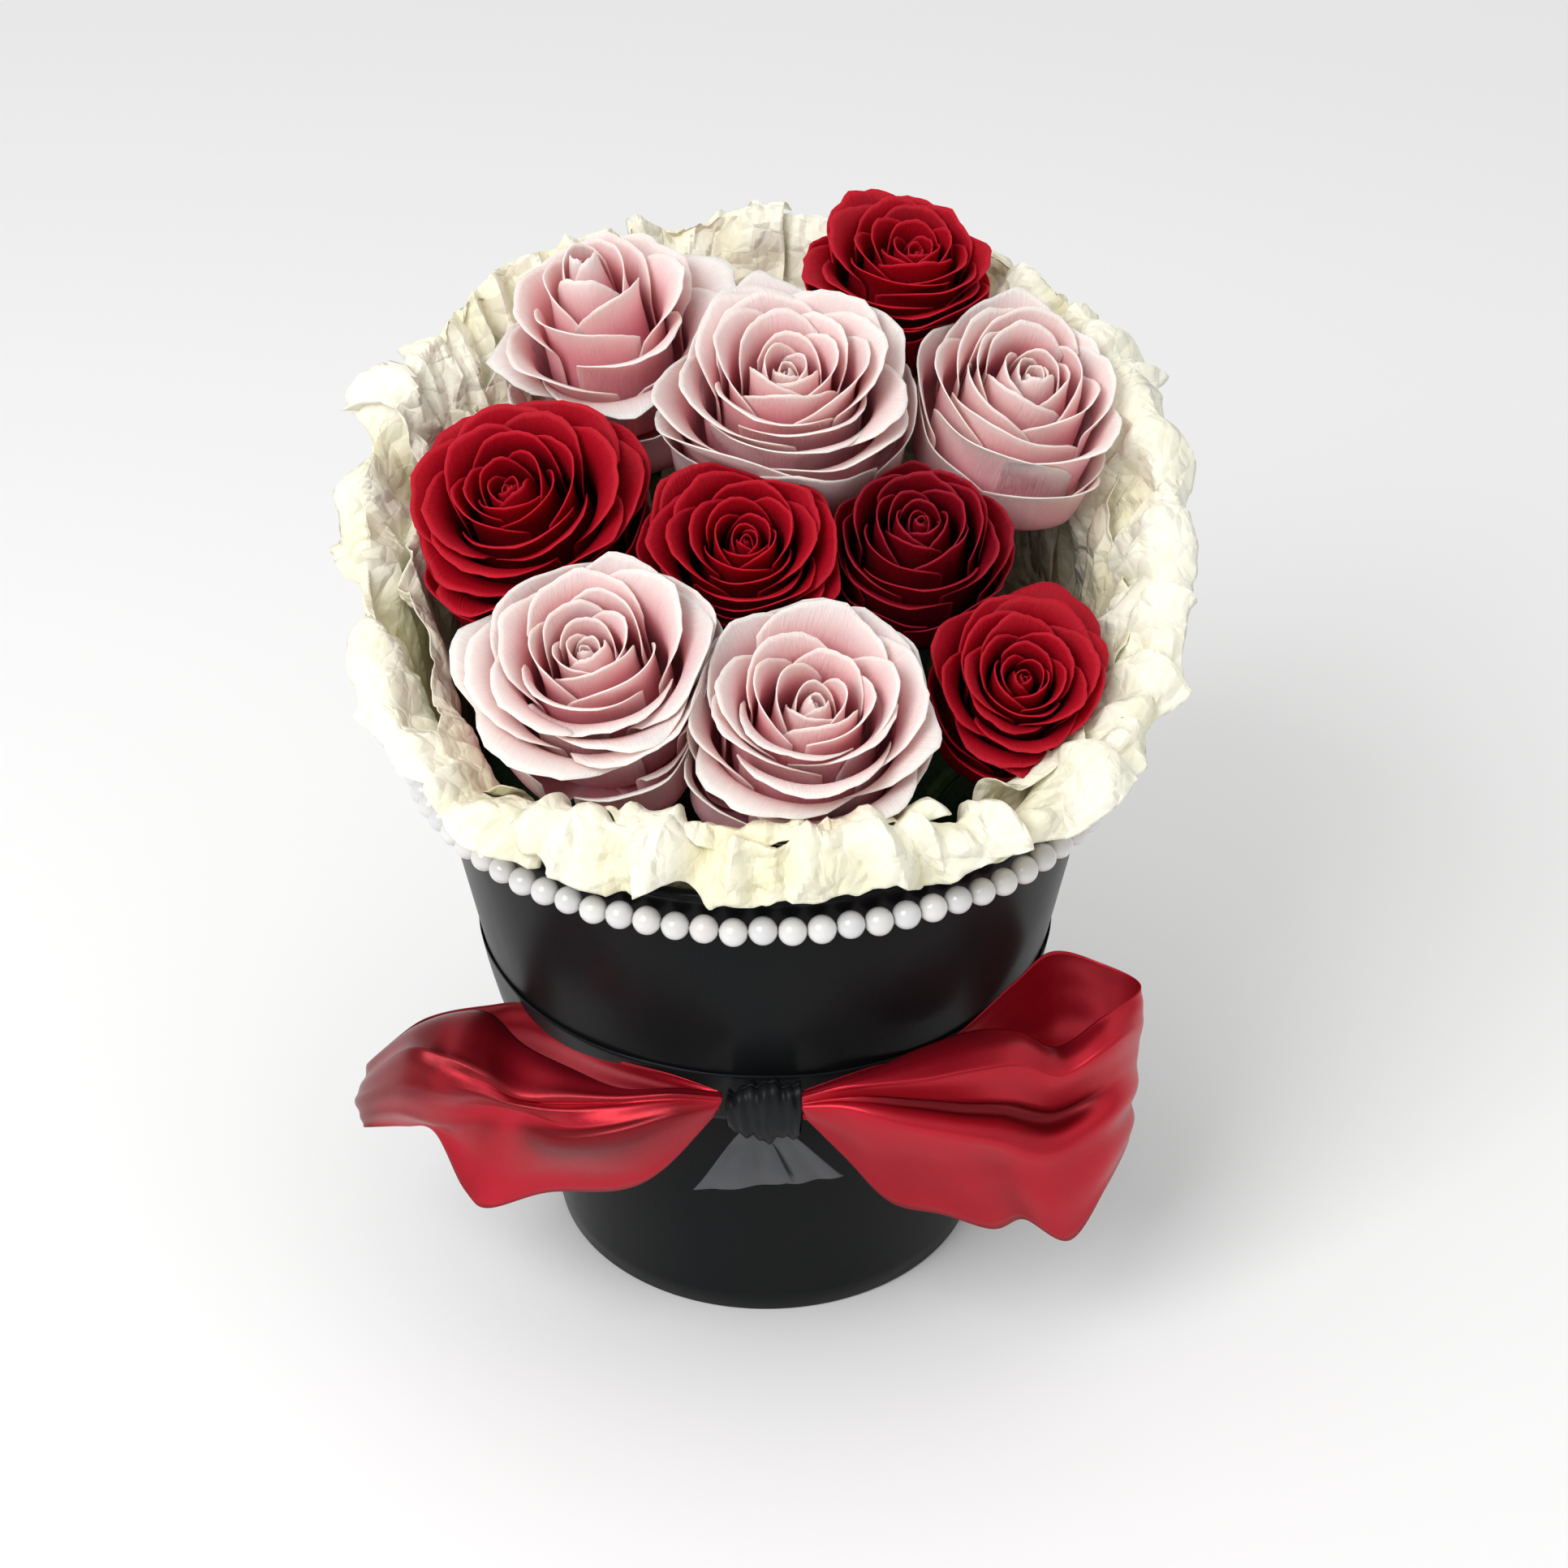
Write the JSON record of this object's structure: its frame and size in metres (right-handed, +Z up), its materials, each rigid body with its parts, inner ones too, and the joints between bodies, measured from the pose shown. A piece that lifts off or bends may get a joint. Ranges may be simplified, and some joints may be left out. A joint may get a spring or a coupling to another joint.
{
  "type": "flower box",
  "caption": "Round tapered flower box with a pearl strand, a satin bow and a lift-out foam insert of roses in a tissue paper collar.",
  "frame": {"origin": "centre of the bucket's base, on the surface it stands on", "axes": "+Z up along the bucket's axis, -Y to the front where the bow is, +X to the viewer's right from the front"},
  "size_m": [0.2338, 0.2122, 0.2806],
  "materials": {
    "gloss_black": "gloss",
    "pearl": "pearlescent",
    "black_satin": "satin",
    "red_satin": "satin",
    "liner_film": "semi-gloss",
    "foam": "matte",
    "pink_petal": "matte",
    "red_petal": "velvet",
    "sepal": "matte",
    "stem": "matte",
    "tissue": "matte"
  },
  "bodies": {
    "bucket": {"bucket_wall": "gloss_black", "base_board": "gloss_black", "pearl_strand": "pearl", "waist_ribbon": "black_satin", "bow_loop_right": "red_satin", "bow_loop_left": "red_satin", "bow_knot": "black_satin", "bow_tail_right": "black_satin", "bow_tail_left": "black_satin"},
    "insert": {"liner_pot": "liner_film", "foam_lower_block": "foam", "foam_upper_block": "foam", "pink_rose_1_bloom": "pink_petal", "pink_rose_1_calyx": "sepal", "pink_rose_1_stem": "stem", "pink_rose_2_bloom": "pink_petal", "pink_rose_2_calyx": "sepal", "pink_rose_2_stem": "stem", "pink_rose_3_bloom": "pink_petal", "pink_rose_3_calyx": "sepal", "pink_rose_3_stem": "stem", "pink_rose_4_bloom": "pink_petal", "pink_rose_4_calyx": "sepal", "pink_rose_4_stem": "stem", "pink_rose_5_bloom": "pink_petal", "pink_rose_5_calyx": "sepal", "pink_rose_5_stem": "stem", "red_rose_1_bloom": "red_petal", "red_rose_1_calyx": "sepal", "red_rose_1_stem": "stem", "red_rose_2_bloom": "red_petal", "red_rose_2_calyx": "sepal", "red_rose_2_stem": "stem", "red_rose_3_bloom": "red_petal", "red_rose_3_calyx": "sepal", "red_rose_3_stem": "stem", "red_rose_4_bloom": "red_petal", "red_rose_4_calyx": "sepal", "red_rose_4_stem": "stem", "red_rose_5_bloom": "red_petal", "red_rose_5_calyx": "sepal", "red_rose_5_stem": "stem", "tissue_front": "tissue", "tissue_right": "tissue", "tissue_back_right": "tissue", "tissue_back_left": "tissue", "tissue_left": "tissue"}
  },
  "joints": [
    {"name": "insert_lift", "type": "slide", "parent": "bucket", "child": "insert", "axis": [0, 0, 1], "range_m": [0, 0.18]}
  ]
}
